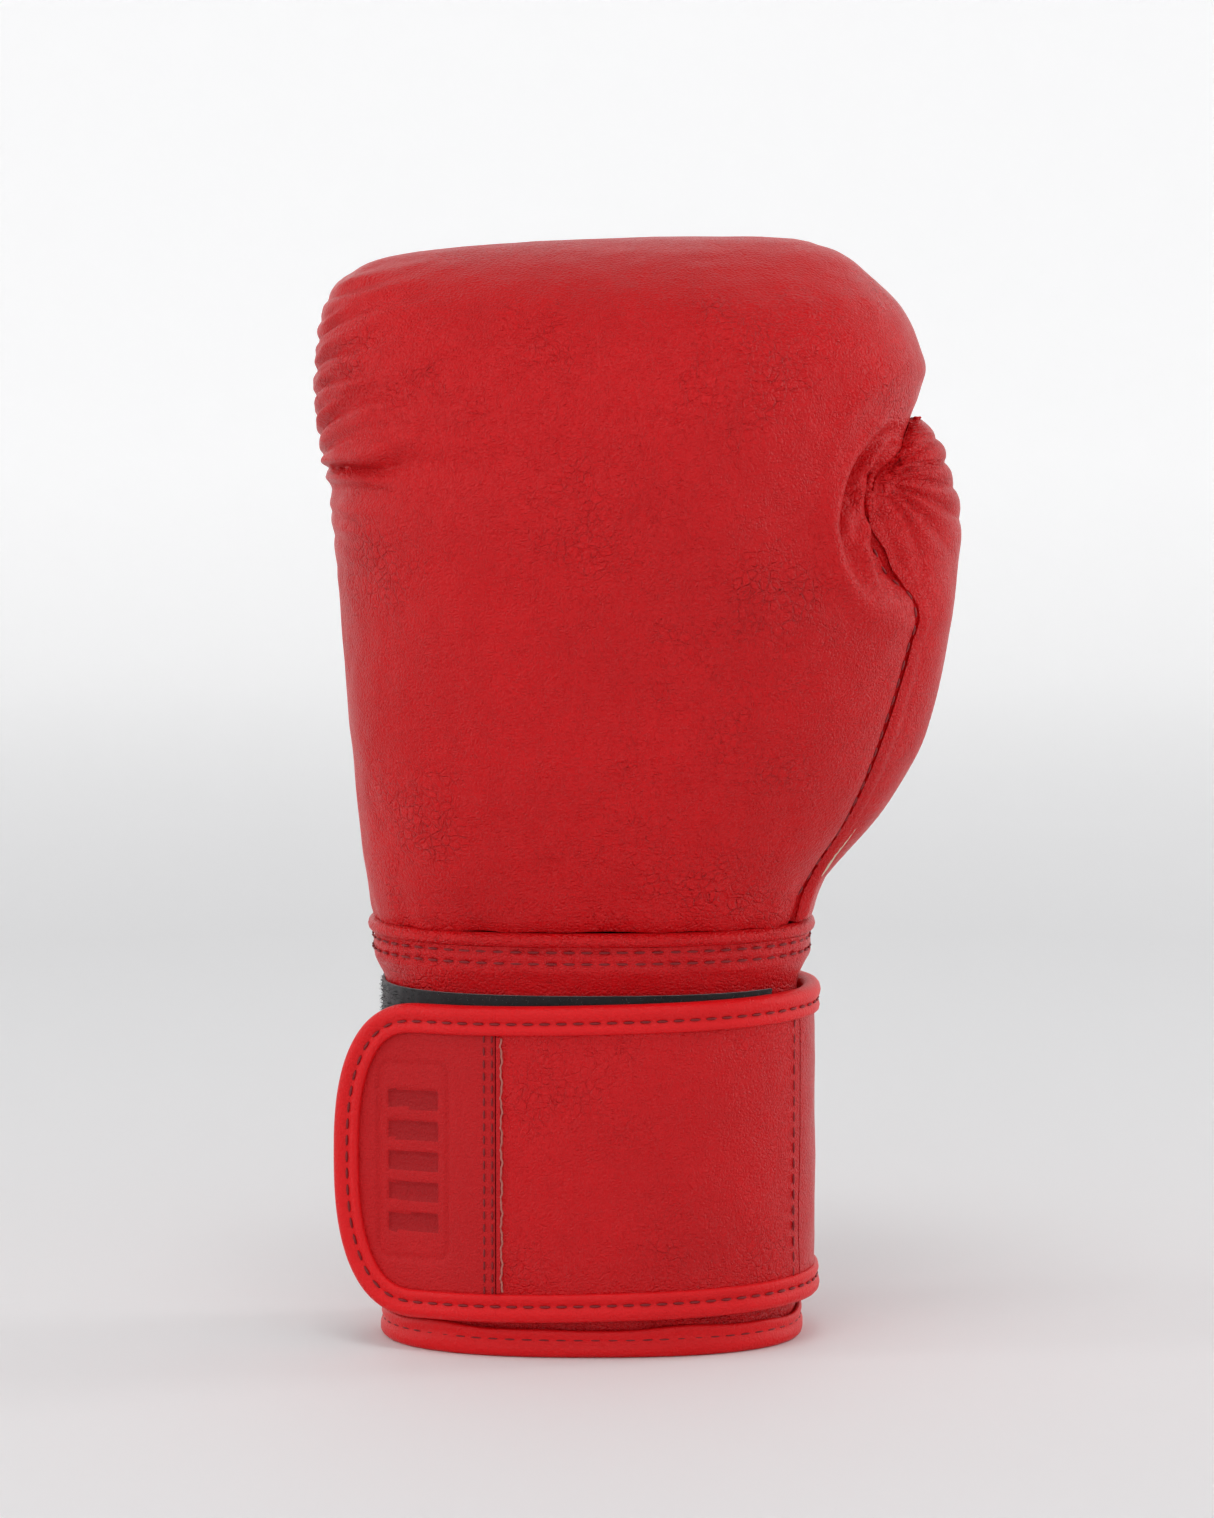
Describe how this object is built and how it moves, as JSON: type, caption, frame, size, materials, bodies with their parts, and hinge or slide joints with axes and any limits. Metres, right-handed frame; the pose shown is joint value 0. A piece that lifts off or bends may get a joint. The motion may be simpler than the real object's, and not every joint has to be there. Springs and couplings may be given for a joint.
{
  "type": "boxing glove",
  "caption": "Left-hand padded training glove with a hand pocket, an attached thumb and a wrap-round wrist strap that peels open on hook-and-loop tape.",
  "frame": {"origin": "centre of the glove's box on the floor that the cuff stands on", "axes": "+Z from the cuff to the fingertips, +X to the thumb side, -Y to the back of the hand"},
  "size_m": [0.1762, 0.1212, 0.3],
  "materials": {
    "mitt_leather": "smooth semi-gloss, fine creases",
    "cuff_leather": "smooth semi-gloss, fine creases",
    "binding_leather": "smooth, folded and stitched",
    "tab_leather": "matte, embossed",
    "foam": "closed-cell foam sheet",
    "lining_fabric": "woven satin lining",
    "strap_backing": "woven backing",
    "loop_tape": "napped loop pile",
    "hook_tape": "moulded hooks",
    "elastic": "ribbed elastic webbing"
  },
  "bodies": {
    "glove": {"back_panel": "mitt_leather", "finger_panel": "mitt_leather", "palm_panel": "mitt_leather", "knuckle_foam_outer": "foam", "knuckle_foam_inner": "foam", "palm_pad": "foam", "grip_bar": "foam", "finger_foam": "foam", "hand_lining": "lining_fabric", "thumb_back_panel": "mitt_leather", "thumb_palm_panel": "mitt_leather", "thumb_foam": "foam", "thumb_lining": "lining_fabric", "thumb_lock_tab": "mitt_leather", "cuff_leather": "cuff_leather", "cuff_padding": "foam", "cuff_lining": "lining_fabric", "elastic_gusset": "elastic", "cuff_binding": "binding_leather", "wrist_welt": "mitt_leather", "loop_patch": "loop_tape", "strap_anchor": "cuff_leather"},
    "strap_side": {"strap_side_leather": "cuff_leather", "strap_side_backing": "strap_backing", "strap_side_binding_top": "binding_leather", "strap_side_binding_bottom": "binding_leather"},
    "strap_back": {"strap_back_leather": "cuff_leather", "strap_back_backing": "strap_backing", "strap_back_binding_top": "binding_leather", "strap_back_binding_bottom": "binding_leather", "strap_hook_tape": "hook_tape"},
    "strap_tab": {"tab_leather": "tab_leather", "tab_backing": "strap_backing", "tab_hook_tape": "hook_tape", "tab_binding": "binding_leather"}
  },
  "joints": [
    {"name": "strap_root_fold", "type": "hinge", "parent": "glove", "child": "strap_side", "pos_m": [0.0213, 0.03844, 0.05325], "axis": [0, 0, 1], "range_deg": [0, 60]},
    {"name": "strap_corner_fold", "type": "hinge", "parent": "strap_side", "child": "strap_back", "pos_m": [0.04313, -0.01888, 0.05325], "axis": [0, 0, 1], "range_deg": [0, 110]},
    {"name": "tab_peel_fold", "type": "hinge", "parent": "strap_back", "child": "strap_tab", "pos_m": [-0.03967, -0.03854, 0.05325], "axis": [0, 0, 1], "range_deg": [0, 70]}
  ]
}
